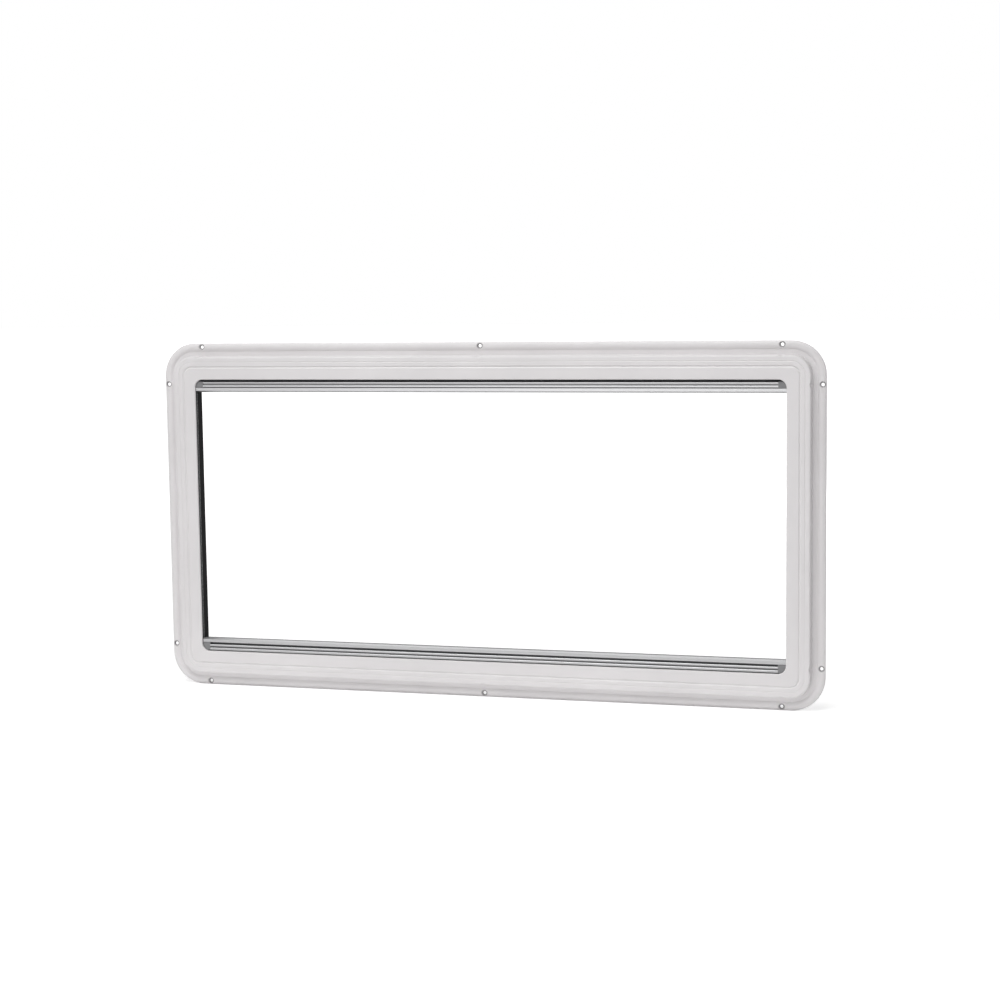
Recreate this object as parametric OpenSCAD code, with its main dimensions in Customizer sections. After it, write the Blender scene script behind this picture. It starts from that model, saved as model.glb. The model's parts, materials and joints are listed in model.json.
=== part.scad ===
// Room-side frame of a caravan window, with a flyscreen and a blackout blind.
// One moulded ring closes the edge of the wall cut-out. Behind it, two rollers
// carry the cloths, and their pull bars run in a guide rail on each side.
// X runs along the window, +Y goes into the wall and +Z is up.
// The origin lies on the flange's back, at the middle of the lower side.

/* [Wall cut-out] */
// Width of the hole in the wall
cutout_w = 900; // [600:5:1400]
// Height of the hole in the wall
cutout_h = 450; // [350:5:700]
// How far the flange covers the wall around the hole
flange_overlap = 21; // [18:0.5:30]

/* [Moulded frame] */
// Corner radius of the outer rim
rim_r = 46; // [40:1:54]
// Width of the visible frame, from the rim to the opening
border = 51; // [50:0.5:58]
// Corner radius of the opening
opening_r = 11; // [6:0.5:20]
// How far the front face stands out from the wall
frame_proud = 14.5; // [12:0.5:18]
// Wall thickness of the moulding
shell_t = 2.5; // [2:0.1:3]
// Radius of the rounded flange lip
lip_r = 9; // [8.5:0.1:11]
// Distance from the rim to the highest line of the lip
lip_crest_u = 6; // [5:0.1:7]
// Height of the flange lip above the wall
lip_h = 3.6; // [3:0.1:4.5]
// Thickness of the flange under the groove
groove_floor = 1.6; // [1.2:0.1:2.2]
// Distance from the flange overlap's inner end back to the step's foot
step_back = 3; // [2.5:0.1:5]
// Draft angle of the step's outer wall
step_draft = 5; // [2:0.5:8]
// Rounding of the step's front edge
step_round = 2.4; // [1:0.1:4]
// Distance from the step's foot to the fine line on the face
line_from_step = 8.5; // [7.5:0.1:10]
// Width of the fine line
line_w = 1.6; // [0.8:0.1:2]
// Depth of the fine line
line_depth = 0.5; // [0.2:0.1:0.8]
// Distance from the step's foot to the vee groove on the face
vee_from_step = 15.5; // [13.5:0.1:18]
// Width of the vee groove
vee_w = 3.6; // [2:0.1:4.4]
// Depth of the vee groove
vee_depth = 1.2; // [0.5:0.1:1.5]
// Flat width beside the vee groove, on the side of the opening
vee_land = 0.7; // [0.4:0.1:1]
// Rounding of the opening's front edge
opening_round = 1.5; // [0.5:0.1:1.8]
// Flat width beside the rounding of the opening's front edge
edge_land = 0.5; // [0.3:0.1:1]

/* [Skirt and ribs] */
// Gap between the skirt and the edge of the wall cut-out
skirt_gap = 0.5; // [0.3:0.1:1.5]
// Thickness of the skirt
skirt_t = 2; // [1.5:0.1:2.5]
// How far the skirt reaches into the cut-out
skirt_depth = 6; // [3:0.5:12]
// Thickness of a stiffening rib
rib_t = 1.6; // [1:0.1:2.4]
// Reach of a rib along the back of the face
rib_reach = 6.5; // [4:0.5:6.8]
// Largest distance between two ribs
rib_pitch = 80; // [50:5:160]
// Distance along a side from its last screw hole to its first rib
rib_inset = 12; // [9:1:20]

/* [Screw holes] */
// Radius of a screw hole
hole_r = 2.25; // [2.05:0.05:2.6]
// Radius of the 90 degree countersink at the top of the lip
sink_r = 4.9; // [4:0.1:5]
// Distance from the rim to the middle of a screw hole
hole_u = 5.2; // [5:0.1:6.5]
// Distance from the rim's corner to the nearest screw hole
hole_inset = 58; // [56:1:90]
// Radius of the screwdriver's scallop at the face
scallop_r = 10; // [6:0.5:12]
// How far the scallop cuts into the step at the face
scallop_depth = 3; // [1.5:0.1:3.2]
// Slope of the scallop's wall
scallop_slope = 11.5; // [8:0.5:16]
// Height of the scallop's floor above the groove
scallop_floor = 0.8; // [0.4:0.1:2]

/* [Guide rails] */
// How far a guide rail stands back from the opening's edge
rail_setback = 0.5; // [0:0.1:2]
// Wall thickness of a guide rail
rail_t = 1.5; // [1.2:0.1:2]
// Depth of the running slot
slot_d = 7; // [6.5:0.1:9]
// Depth of the hollow chamber behind the running slot
rail_chamber = 10.5; // [8:0.5:14]
// How far a guide rail reaches past the opening's edge
rail_past = 2.25; // [1:0.25:4]
// Gap between a guide rail and the roller bracket at its end
rail_end_gap = 0.5; // [0.2:0.1:2]
// Thickness of a pile strip in the slot
pile_t = 0.7; // [0.4:0.1:0.9]
// Width of a pile strip
pile_w = 5; // [3:0.5:7]
// How far a pile strip stands back from the slot's mouth
pile_setback = 0.4; // [0.2:0.1:2]

/* [Pull bars] */
// Gap between a pull bar and the back of the frame's face
bar_setback = 0.5; // [0.3:0.1:1]
// Depth of a pull bar from front to back
bar_d = 10; // [9:0.1:11]
// Wall thickness of a pull bar
bar_t = 1.4; // [1:0.1:1.6]
// Height of the plain lip next to the opening
bar_lip = 6; // [5:0.1:8]
// Height of the bevel on the lip's front edge
lip_bevel_h = 2; // [1:0.1:2.5]
// Depth of the bevel on the lip's front edge
lip_bevel_d = 3; // [1:0.1:4]
// Height of the rib next to the finger groove
bar_rib = 2.9; // [2:0.1:4]
// Height of the groove between the two ribs
bar_rib_gap = 2; // [1.5:0.1:3]
// Depth of the groove between the two ribs
bar_gap_depth = 2; // [1:0.1:2.4]
// Height of the flyscreen bar's rib next to the cloth
screen_edge_rib = 2.4; // [1.6:0.1:3.5]
// Height of the blind bar's rib next to the cloth
blind_edge_rib = 3.4; // [1.6:0.1:3.5]
// Bevel on the corners of the ribs
rib_bevel = 0.5; // [0.2:0.1:0.7]
// Finger groove height of the flyscreen's bar
screen_groove = 1.2; // [1:0.1:5]
// Finger groove height of the blind's bar
blind_groove = 3.2; // [1:0.1:6]
// Finger groove depth of the flyscreen's bar
screen_groove_depth = 2.4; // [1:0.1:4]
// Finger groove depth of the blind's bar
blind_groove_depth = 5; // [1:0.1:6]
// How far the parked flyscreen bar reaches into the opening
screen_reach = 17.8; // [15:0.1:30]
// How far the parked blind bar reaches into the opening
blind_reach = 18.4; // [17:0.1:30]
// Visible length of an end cap inside the opening
cap_show = 11; // [6:0.5:20]
// How far an end cap stands past the ribs, towards the cloth
cap_over = 1; // [0:0.1:1.5]
// Gap between the end of a bar's lip and the guide rail
lip_end_gap = 0.8; // [0.4:0.1:1.5]
// Gap between a cap's runner and the bottom of the slot
runner_end_gap = 3; // [1:0.5:6]
// Running gap between a cap's runner and a pile strip
runner_gap = 0.15; // [0.1:0.05:0.4]
// Length of the plug that holds a cap in its bar
cap_plug = 12; // [6:0.5:20]
// Running gap between plastic pieces that fit in each other
fit_gap = 0.2; // [0.1:0.05:0.4]

/* [Rollers] */
// Radius of a roller tube as a share of its axis's distance from the skirt
tube_share = 0.51; // [0.45:0.01:0.55]
// Wall thickness of a roller tube
tube_t = 0.9; // [0.6:0.1:1.2]
// Thickness of the flyscreen mesh
mesh_t = 0.3; // [0.2:0.05:0.35]
// Thickness of the blackout cloth
blackout_t = 0.35; // [0.2:0.05:0.4]
// Spare cloth that stays on the roller when it is drawn out
cloth_spare = 30; // [0:5:60]
// Distance from a cloth's edge to the end of its tube
cloth_edge = 3; // [1:0.5:5]
// Gap round the wound cloth's first turn
cloth_gap = 0.1; // [0.05:0.05:0.2]
// Length of cloth that a bar's chamber holds
cloth_hem = 1; // [0.5:0.1:2]
// Width of the slit through which a cloth enters its bar
cloth_slit = 1.2; // [0.8:0.1:1.6]
// Gap between a tube's end plug and the bracket
bracket_gap = 1; // [0.5:0.1:2]
// Radius of the roller pin
pin_r = 2.5; // [2:0.1:3.5]
// Running gap between the pin and its bearing
pin_gap = 0.15; // [0.05:0.05:0.3]
// Thickness of the plug's collar
collar_t = 3; // [2:0.5:5]
// How far the collar stands out over the tube
collar_rim = 0.6; // [0.3:0.1:1]
// How far a pin stands back from the outer face of its bracket
pin_end = 0.4; // [0:0.1:1]
// Length of the plug inside the tube
plug_len = 14; // [8:0.5:25]
// Thickness of a roller bracket
bracket_t = 5; // [3:0.5:6]
// Thickness of a bracket's foot
foot_t = 2.5; // [2:0.1:4]
// Length of a bracket's foot along the window
foot_len = 13; // [8:0.5:14]
// Space between a bracket and the skirt
bracket_room = 0.5; // [0.4:0.1:2]
// Radius of the bracket's bearing eye as a share of its axis's distance from the skirt
eye_share = 0.58; // [0.5:0.01:0.7]
// Length of the peg that holds a bracket in the end of its guide rail
peg_len = 12; // [6:1:20]

/* [Hidden] */
$fn = 96;

// Overlap that lets one solid pass through another's face when it is cut
eps = 0.1;
// Side of the window on which a piece lies
LEFT = -1;
RIGHT = 1;
TOP = 1;
BOTTOM = -1;

rim_w = cutout_w + 2 * flange_overlap;
rim_h = cutout_h + 2 * flange_overlap;
opening_w = rim_w - 2 * border;
opening_h = rim_h - 2 * border;

// The seat of the origin lies in the middle of the flange's groove
step_u = flange_overlap - step_back;
seat_u = (2 * lip_crest_u + step_u) / 2;
window_z = rim_h / 2 - seat_u;

skirt_u = flange_overlap + skirt_gap;
skirt_in_u = skirt_u + skirt_t;
line_u = step_u + line_from_step;
vee_u = step_u + vee_from_step;
sweep_end_u = vee_u + vee_w / 2 + vee_land;
plate_end_u = border - opening_round - edge_land;
face_back = frame_proud - shell_t;

// A roller lies halfway between the opening's edge and the skirt
roller_offset = (border - skirt_in_u) / 2;
bracket_z = opening_h / 2 + roller_offset;
tube_r = roller_offset * tube_share;
core_r = tube_r + cloth_gap;
eye_r = roller_offset * eye_share;

// A bracket lies as far out as the skirt's rounded corner lets its bearing eye go
corner_r = rim_r - skirt_in_u - bracket_room;
corner_dz = max(0, bracket_z + eye_r - (rim_h / 2 - rim_r));
bracket_out = rim_w / 2 - rim_r + sqrt(pow(corner_r, 2) - pow(corner_dz, 2));
bracket_x = bracket_out - bracket_t;
collar_x = bracket_x - bracket_gap;
tube_half = collar_x - collar_t;

// A guide rail reaches as far out as the bracket's peg in its chamber
rail_x = opening_w / 2 + rail_setback;
rail_out = bracket_out + rail_t;
rail_w = rail_out - rail_x;
rail_depth = 3 * rail_t + slot_d + rail_chamber;
rail_end = opening_h / 2 + rail_past;
bracket_low = bracket_z - rail_end - rail_end_gap;
slot_front = face_back - rail_t;
slot_back = slot_front - slot_d;

// A bar stands behind the face, and only its caps' runners lie in the slots
bar_front = face_back - bar_setback;
bar_back = bar_front - bar_d;
bar_half = opening_w / 2 - cap_show;
lip_half = rail_x - lip_end_gap;
runner_half = rail_out - rail_t - runner_end_gap;

// A cloth hangs straight down from its roller through the middle of the slots
cloth_d = (slot_front + slot_back) / 2;
cloth_drop = opening_h + cloth_spare;

function height_of(groove, edge_rib) = bar_lip + groove + bar_rib + bar_rib_gap + edge_rib;
screen_tall = height_of(screen_groove, screen_edge_rib);
blind_tall = height_of(blind_groove, blind_edge_rib);
function wound_r(thick) = sqrt(pow(core_r, 2) + cloth_drop * thick / PI);
function axis_d(thick) = cloth_d - wound_r(thick) + thick / 2;

// Points of an arc about c, from angle a0 to angle a1
function arc(c, r, a0, a1, steps) = [
    for (i = [0 : steps]) c + r * [cos(a0 + (a1 - a0) * i / steps), sin(a0 + (a1 - a0) * i / steps)]
];

// Turns a drawing with its height in Y and its depth in Z so that the depth points at the room
module stand() {
    translate([0, 0, window_z]) rotate([90, 0, 0]) children();
}

// Extrudes a section drawn as [depth, height] along the window, from x0 to x1
module along(x0, x1) {
    translate([x0, 0, 0]) rotate([90, 0, 90]) linear_extrude(x1 - x0) scale([-1, 1]) children();
}

// A rectangle u inside the rim, with rounded corners
module rim_shape(u, r) {
    w = rim_w - 2 * u;
    h = rim_h - 2 * u;
    union() {
        square([w - 2 * r, h], center = true);
        square([w, h - 2 * r], center = true);
        for (x = [-1, 1], y = [-1, 1]) translate([x * (w / 2 - r), y * (h / 2 - r)]) circle(r);
    }
}

// Sweeps a section of [distance from the rim, depth] points round a ring,
// whose corners turn about centres that lie turn_u inside the rim
module ring(section, turn_u) {
    long = rim_w - 2 * turn_u;
    tall = rim_h - 2 * turn_u;
    for (a = [0, 180]) rotate([0, 0, a]) ring_side(section, long, rim_h / 2);
    for (a = [90, 270]) rotate([0, 0, a]) ring_side(section, tall, rim_w / 2);
    for (x = [-1, 1], y = [-1, 1]) {
        start = x > 0 ? (y > 0 ? 0 : 270) : (y > 0 ? 90 : 180);
        translate([x * long / 2, y * tall / 2, 0])
            rotate([0, 0, start])
                rotate_extrude(angle = 90) polygon([for (p = section) [turn_u - p[0], p[1]]]);
    }
}

module ring_side(section, length, reach) {
    translate([-length / 2, reach, 0])
        rotate([90, 0, 90]) linear_extrude(length) polygon([for (p = section) [-p[0], p[1]]]);
}

// Moulded frame: flange lip, groove and step, swept round the rim
lip_c = [lip_crest_u, lip_h - lip_r];
lip_start = 180 - acos(lip_crest_u / lip_r);
lip_end = asin((groove_floor - lip_c[1]) / lip_r);
step_rise = frame_proud - step_round - groove_floor;
step_c = [step_u + step_rise * tan(step_draft) + step_round / cos(step_draft), frame_proud - step_round];
frame_section = concat(
    [[0, 0]],
    arc(lip_c, lip_r, lip_start, lip_end, 10),
    [[step_u, groove_floor]],
    arc(step_c, step_round, 180 - step_draft, 90, 6),
    [
        [line_u - line_w / 2, frame_proud],
        [line_u, frame_proud - line_depth],
        [line_u + line_w / 2, frame_proud],
        [vee_u - vee_w / 2, frame_proud],
        [vee_u, frame_proud - vee_depth],
        [vee_u + vee_w / 2, frame_proud],
        [sweep_end_u, frame_proud],
        [sweep_end_u, face_back],
        [step_c[0] + shell_t, face_back],
        [step_c[0] - step_round + shell_t, face_back - step_round],
        [step_u + shell_t + skirt_t, groove_floor + shell_t + skirt_t],
        [skirt_in_u, groove_floor + shell_t],
        [skirt_in_u, -skirt_depth],
        [skirt_u, -skirt_depth],
        [skirt_u, 0]
    ]
);
edge_section = concat(
    [[plate_end_u, face_back], [plate_end_u, frame_proud]],
    arc([border - opening_round, frame_proud - opening_round], opening_round, 90, 0, 6),
    [[border, face_back]]
);

// Places its children at each screw hole, with +Y pointing out over the rim
module at_holes() {
    for (x = [-1, 0, 1], a = [0, 180])
        rotate([0, 0, a]) translate([x * (rim_w / 2 - hole_inset), rim_h / 2, 0]) children();
    for (z = [-1, 1], a = [90, 270])
        rotate([0, 0, a]) translate([z * (rim_h / 2 - hole_inset), rim_w / 2, 0]) children();
}

module screw_hole() {
    sink_depth = sink_r - hole_r;
    translate([0, -hole_u, -eps]) cylinder(r = hole_r, h = lip_h + 2 * eps);
    translate([0, -hole_u, lip_h - sink_depth]) cylinder(r1 = hole_r, r2 = sink_r, h = sink_depth);
}

// A conical cut in the step that lets the screwdriver stand upright
module scallop() {
    floor_d = groove_floor + scallop_floor;
    tall = frame_proud + eps - floor_d;
    intersection() {
        translate([0, -step_u - scallop_depth + scallop_r, floor_d])
            cylinder(r1 = scallop_r - tall * tan(scallop_slope), r2 = scallop_r, h = tall);
        translate([-scallop_r, -step_u - scallop_r, floor_d])
            cube([2 * scallop_r, scallop_r + eps, tall]);
    }
}

// A triangular rib between the step's wall and the back of the face
module rib() {
    wall_u = step_c[0] - step_round + shell_t;
    rotate([90, 0, 90]) linear_extrude(rib_t, center = true)
        polygon([
            [-wall_u, face_back + eps],
            [-skirt_in_u - rib_reach, face_back + eps],
            [-skirt_in_u - rib_reach, face_back - rib_t],
            [-skirt_in_u, groove_floor],
            [-wall_u, face_back / 2]
        ]);
}

module rib_row(length, reach) {
    count = floor(length / rib_pitch);
    for (i = [0 : count]) translate([(i / count - 0.5) * length, reach, 0]) rib();
}

module ribs() {
    ends = 2 * (hole_inset + rib_inset);
    for (a = [0, 180]) rotate([0, 0, a]) rib_row(rim_w - ends, rim_h / 2);
    for (a = [90, 270]) rotate([0, 0, a]) rib_row(rim_h - ends, rim_w / 2);
}

module moulded_frame() {
    color("gainsboro") stand() {
        difference() {
            ring(frame_section, rim_r);
            at_holes() screw_hole();
            at_holes() scallop();
        }
        translate([0, 0, face_back]) linear_extrude(shell_t) difference() {
            rim_shape(sweep_end_u - eps, rim_r - sweep_end_u + eps);
            rim_shape(plate_end_u + eps, border + opening_r - plate_end_u - eps);
        }
        ring(edge_section, border + opening_r);
        ribs();
    }
}

// Guide rail: an extruded section with a running slot in front of a hollow chamber
module upright(side) {
    translate([side * rail_x, 0, window_z - rail_end])
        linear_extrude(2 * rail_end) scale([side, 1]) children();
}

module guide_rail(side) {
    color("dimgray") upright(side) difference() {
        translate([0, -face_back]) square([rail_w, rail_depth]);
        translate([-eps, -slot_front]) square([rail_w - rail_t + eps, slot_d]);
        translate([rail_t, -slot_back + rail_t]) square([rail_w - 2 * rail_t, rail_chamber]);
    }
}

module rail_pile(side) {
    color("black") upright(side) for (y = [-slot_front, -slot_back - pile_t])
        translate([pile_setback, y]) square([pile_w, pile_t]);
}

// Pull bar: a plain lip, a finger groove and two ribs, drawn outwards from the opening
module lip_shape() {
    bevel_in = bar_t * lip_bevel_d / (lip_bevel_d + lip_bevel_h);
    difference() {
        polygon([
            [bar_back, 0], [bar_front - lip_bevel_d, 0], [bar_front, lip_bevel_h],
            [bar_front, bar_lip], [bar_back, bar_lip]
        ]);
        polygon([
            [bar_back + bar_t, bar_t],
            [bar_front - lip_bevel_d - bevel_in, bar_t],
            [bar_front - bar_t, lip_bevel_h + bevel_in],
            [bar_front - bar_t, bar_lip - bar_t],
            [bar_back + bar_t, bar_lip - bar_t]
        ]);
    }
}

// A rib from height h0 to h1, with bevelled front corners
module rib_shape(h0, h1) {
    polygon([
        [bar_back, h0], [bar_front - rib_bevel, h0], [bar_front, h0 + rib_bevel],
        [bar_front, h1 - rib_bevel], [bar_front - rib_bevel, h1], [bar_back, h1]
    ]);
}

module bar_shape(groove, groove_depth, tall) {
    foot = bar_lip + groove;
    lip_shape();
    translate([bar_back, bar_lip]) square([bar_d - groove_depth, groove]);
    difference() {
        union() {
            rib_shape(foot, foot + bar_rib);
            translate([bar_back, foot + bar_rib]) square([bar_d - bar_gap_depth, bar_rib_gap]);
            rib_shape(foot + bar_rib + bar_rib_gap, tall);
        }
        rib_chamber(foot, tall, 0);
        translate([cloth_d - cloth_slit / 2, tall - bar_t - eps]) square([cloth_slit, bar_t + 2 * eps]);
    }
}

// The hollow behind the ribs, or with a gap the plug that fits in it
module rib_chamber(foot, tall, gap) {
    translate([bar_back + bar_t + gap, foot + bar_t + gap])
        square([bar_d - 2 * bar_t - bar_gap_depth - 2 * gap, tall - foot - 2 * bar_t - 2 * gap]);
}

// Turns what is drawn outwards from the opening to the top or the bottom of the window
module at_edge(place, reach) {
    translate([0, 0, window_z]) scale([1, 1, place]) translate([0, 0, opening_h / 2 - reach]) children();
}

module pull_bar(place, reach, groove, groove_depth, tall) {
    color("silver") at_edge(place, reach) {
        along(-lip_half, lip_half) lip_shape();
        along(-bar_half, bar_half) bar_shape(groove, groove_depth, tall);
    }
}

// End cap: a block beside the ribs, a plug in their chamber and a runner in the guide rail
module bar_cap(place, side, reach, groove, tall) {
    foot = bar_lip + groove;
    low = bar_lip + fit_gap;
    runner_back = slot_back + pile_t + runner_gap;
    runner_d = slot_d - 2 * (pile_t + runner_gap);
    slit = bar_t + cloth_hem + fit_gap;
    color("gray") at_edge(place, reach) scale([side, 1, 1]) {
        along(bar_half, lip_half) difference() {
            translate([0, low]) cap_outline(tall + cap_over - low);
            cloth_cut(tall + cap_over, slit + cap_over);
        }
        along(bar_half, runner_half) difference() {
            translate([runner_back, low]) square([runner_d, tall - low]);
            cloth_cut(tall, slit);
        }
        along(bar_half - cap_plug, bar_half + eps) rib_chamber(foot, tall - cloth_hem, fit_gap);
    }
}

module cap_outline(tall) {
    polygon([
        [bar_back, 0], [bar_front - rib_bevel, 0], [bar_front, rib_bevel],
        [bar_front, tall - 2 * rib_bevel], [bar_front - 2 * rib_bevel, tall], [bar_back, tall]
    ]);
}

module cloth_cut(tall, slit) {
    translate([cloth_d - cloth_slit / 2, tall - slit]) square([cloth_slit, slit + eps]);
}

// Roller: a tube between two plugs, whose pins turn in the brackets
module at_roller(place, thick) {
    translate([0, -axis_d(thick), window_z + place * bracket_z]) children();
}

module rod(x0, x1, r) {
    translate([x0, 0, 0]) rotate([0, 90, 0]) cylinder(r = r, h = x1 - x0);
}

module roller_tube(place, thick) {
    color("lightgray") at_roller(place, thick) difference() {
        rod(-tube_half, tube_half, tube_r);
        rod(-tube_half - eps, tube_half + eps, tube_r - tube_t);
    }
}

module roller_plug(place, side, thick) {
    color("whitesmoke") at_roller(place, thick) scale([side, 1, 1]) {
        rod(tube_half - plug_len, collar_x, tube_r - tube_t - pin_gap);
        rod(tube_half, collar_x, tube_r + collar_rim);
        rod(tube_half, bracket_out - pin_end, pin_r);
    }
}

module roller_bracket(place, side, thick) {
    tall = bracket_low + eye_r;
    peg_y = face_back - slot_back + rail_t + fit_gap;
    peg_d = face_back - axis_d(thick) - peg_y;
    color("whitesmoke") scale([side, 1, 1]) difference() {
        union() {
            translate([bracket_x, -face_back, window_z + place * bracket_z])
                scale([1, 1, place]) translate([0, 0, -bracket_low]) {
                    cube([bracket_t, face_back - axis_d(thick), tall]);
                    translate([-foot_len, 0, 0]) cube([foot_len + eps, foot_t, tall]);
                    translate([0, peg_y, -rail_end_gap - peg_len])
                        cube([bracket_t - fit_gap, peg_d, peg_len + rail_end_gap + eps]);
                }
            at_roller(place, thick) rod(bracket_x, bracket_out, eye_r);
        }
        at_roller(place, thick) rod(bracket_x - eps, bracket_out + eps, pin_r + pin_gap);
    }
}

// Cloth: the turns on the roller and the straight piece down to the bar
module cloth(place, thick, reach, tall) {
    roll_r = wound_r(thick);
    half = tube_half - cloth_edge;
    hem = opening_h / 2 - reach + tall - bar_t - cloth_hem;
    color(place == TOP ? "darkslategray" : "lightgray") {
        at_roller(place, thick) difference() {
            rod(-half, half, roll_r);
            rod(-half - eps, half + eps, core_r);
        }
        translate([0, 0, window_z]) scale([1, 1, place])
            translate([-half, -cloth_d - thick / 2, hem]) cube([2 * half, thick, bracket_z - hem]);
    }
}

module screen_bar() { pull_bar(TOP, screen_reach, screen_groove, screen_groove_depth, screen_tall); }
module screen_cap(side) { bar_cap(TOP, side, screen_reach, screen_groove, screen_tall); }
module blind_bar() { pull_bar(BOTTOM, blind_reach, blind_groove, blind_groove_depth, blind_tall); }
module blind_cap(side) { bar_cap(BOTTOM, side, blind_reach, blind_groove, blind_tall); }
module flyscreen_mesh() { cloth(TOP, mesh_t, screen_reach, screen_tall); }
module blackout_cloth() { cloth(BOTTOM, blackout_t, blind_reach, blind_tall); }

moulded_frame();
guide_rail(LEFT);  // guide_rail_left
guide_rail(RIGHT);  // guide_rail_right
rail_pile(LEFT);  // rail_pile_left
rail_pile(RIGHT);  // rail_pile_right
screen_bar();
screen_cap(LEFT);  // screen_bar_cap_left
screen_cap(RIGHT);  // screen_bar_cap_right
blind_bar();
blind_cap(LEFT);  // blind_bar_cap_left
blind_cap(RIGHT);  // blind_bar_cap_right
roller_tube(TOP, mesh_t);  // screen_roller_tube
roller_plug(TOP, LEFT, mesh_t);  // screen_roller_plug_left
roller_plug(TOP, RIGHT, mesh_t);  // screen_roller_plug_right
roller_bracket(TOP, LEFT, mesh_t);  // screen_bracket_left
roller_bracket(TOP, RIGHT, mesh_t);  // screen_bracket_right
flyscreen_mesh();
roller_tube(BOTTOM, blackout_t);  // blind_roller_tube
roller_plug(BOTTOM, LEFT, blackout_t);  // blind_roller_plug_left
roller_plug(BOTTOM, RIGHT, blackout_t);  // blind_roller_plug_right
roller_bracket(BOTTOM, LEFT, blackout_t);  // blind_bracket_left
roller_bracket(BOTTOM, RIGHT, blackout_t);  // blind_bracket_right
blackout_cloth();
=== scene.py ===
"""Looks of a caravan window's inner frame with flyscreen and blackout blind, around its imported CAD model."""

import json
import math
import random

import bpy
from bpy.props import FloatProperty, FloatVectorProperty, PointerProperty
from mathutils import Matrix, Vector


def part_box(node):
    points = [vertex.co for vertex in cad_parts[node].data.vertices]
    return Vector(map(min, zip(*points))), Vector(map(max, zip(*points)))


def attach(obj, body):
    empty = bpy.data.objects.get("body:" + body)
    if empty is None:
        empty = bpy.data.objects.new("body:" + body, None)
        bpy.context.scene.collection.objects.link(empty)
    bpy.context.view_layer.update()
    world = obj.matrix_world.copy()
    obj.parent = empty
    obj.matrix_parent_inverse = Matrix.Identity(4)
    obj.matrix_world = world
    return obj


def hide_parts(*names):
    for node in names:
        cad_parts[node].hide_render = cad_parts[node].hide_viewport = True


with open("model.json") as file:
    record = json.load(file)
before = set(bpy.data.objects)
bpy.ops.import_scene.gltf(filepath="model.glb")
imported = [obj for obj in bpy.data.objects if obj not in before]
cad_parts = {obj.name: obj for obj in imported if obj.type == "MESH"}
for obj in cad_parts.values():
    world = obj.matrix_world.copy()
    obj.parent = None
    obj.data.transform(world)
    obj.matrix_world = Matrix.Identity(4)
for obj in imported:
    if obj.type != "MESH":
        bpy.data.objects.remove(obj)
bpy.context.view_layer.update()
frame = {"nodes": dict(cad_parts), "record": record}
NODES = frame["nodes"]

bl_info = {
    "name": "Caravan Window Frame",
    "version": (1, 0, 0),
    "blender": (4, 5, 0),
    "location": "View3D > Sidebar > Window",
    "description": "Dresses the inner frame of a caravan window, its rails, pull bars, rollers and cloths",
    "category": "Object",
}

MM = 0.001
SIDES = {"left": -1, "right": 1}
EDGES = {"screen": 1, "blind": -1}


# The window's own places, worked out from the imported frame

def box_of(name):
    low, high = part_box(name)
    return Vector(low), Vector(high)


FRAME_LOW, FRAME_HIGH = box_of("moulded_frame")
MIDDLE = (FRAME_LOW + FRAME_HIGH) / 2

# The grooves of a pull bar: where each starts and ends, from the bar's edge next to the opening,
# and how much darker it is painted than the rest of the bar, as painted shade
BAR_GROOVES = {
    "screen": ((6.0 * MM, 7.2 * MM, 0.84), (10.1 * MM, 12.1 * MM, 0.68)),
    "blind": ((6.0 * MM, 9.2 * MM, 0.90), (12.1 * MM, 14.1 * MM, 0.78)),
}
GROOVE_MARGIN = 0.05 * MM
BAR_FRONT_DEPTH = 0.3 * MM
# How much darker each pull bar's copy of the one anodised metal is painted, as painted shade
BAR_PAINTED_SHADES = {"screen": 0.87, "blind": 0.82}

# The painted shade on the face that ends a pull bar's lip: how thick a layer counts as the face, and how much
# darker it is painted
END_FACE_DEPTH = 0.2 * MM
END_FACE_SHADE = 0.85
LIP_BEVEL_DEPTH = 3 * MM

# The countersinks' painted shade: its outer radius, how much darker it paints them, and how far behind
# the wall's face the shade ends, so that the flange's back has none
SINK_RADIUS = 4.9 * MM
SINK_SHADE = 0.68
SINK_BACK = -0.2 * MM

# The brush pile: its rows as shares of the slot's width, the tufts' radii, and what stands of a fibre
# where a bar's runner or a cloth's edge presses it to the wall
FIBRE_ROWS = (0.16, 0.5, 0.84)
ROOT_RADIUS = 0.3 * MM
TIP_RADIUS = 0.1 * MM
PRESSED_FIBRE = 0.7 * MM

# The wound cloths: their distance from turn to turn before it is fitted, their gap to the tube, and
# how many steps a turn, the way to the bar and the width are drawn with
CLOTH_PITCHES = {"screen": 0.3 * MM, "blind": 0.35 * MM}
CORE_GAP = 0.1 * MM
TURN_STEPS = 48
STRAIGHT_STEPS = 8
WIDTH_STEPS = 12

# The feet of the brackets: their thickness, the distance of the screws from their inner edge, and how
# much farther from the roller's axis the second screw is than the first
FOOT_THICKNESS = 2.5 * MM
SCREW_INSET = 5.4 * MM
SCREW_OFFSET = 3 * MM

# The floor is as white as the background beyond these distances from the window
FLOOR_SIZE = 60
FAR_GLOW = 1
GLOW_START = 1
GLOW_END = 3

# The fill light lies just above the floor and just in front of the window
FILL_HEIGHT = 2 * MM
FILL_DEPTH = 0.3
FILL_GAP = 5 * MM

# The camera as fitted to the photo's straight edges, from the window's middle at the wall's face
CAMERA_PLACE = (0.7740, -2.5849, 0.3127)
CAMERA_TURN = (83.985, 0.734, 16.077)
CAMERA_LENS = 70.9


# Sizes and colours that a user would change

class FrameFinish(bpy.types.PropertyGroup):
    colour: FloatVectorProperty(
        name="Frame colour", description="Colour of the moulded frame", subtype="COLOR", size=3,
        default=(0.755, 0.734, 0.740), min=0, max=1)
    roughness: FloatProperty(
        name="Roughness", description="Roughness of the moulded surface", default=0.38, min=0, max=1)
    grain: FloatProperty(
        name="Grain height", description="Height of the fine mould texture", default=0.035 * MM,
        min=0, max=0.1 * MM, subtype="DISTANCE")


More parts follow.
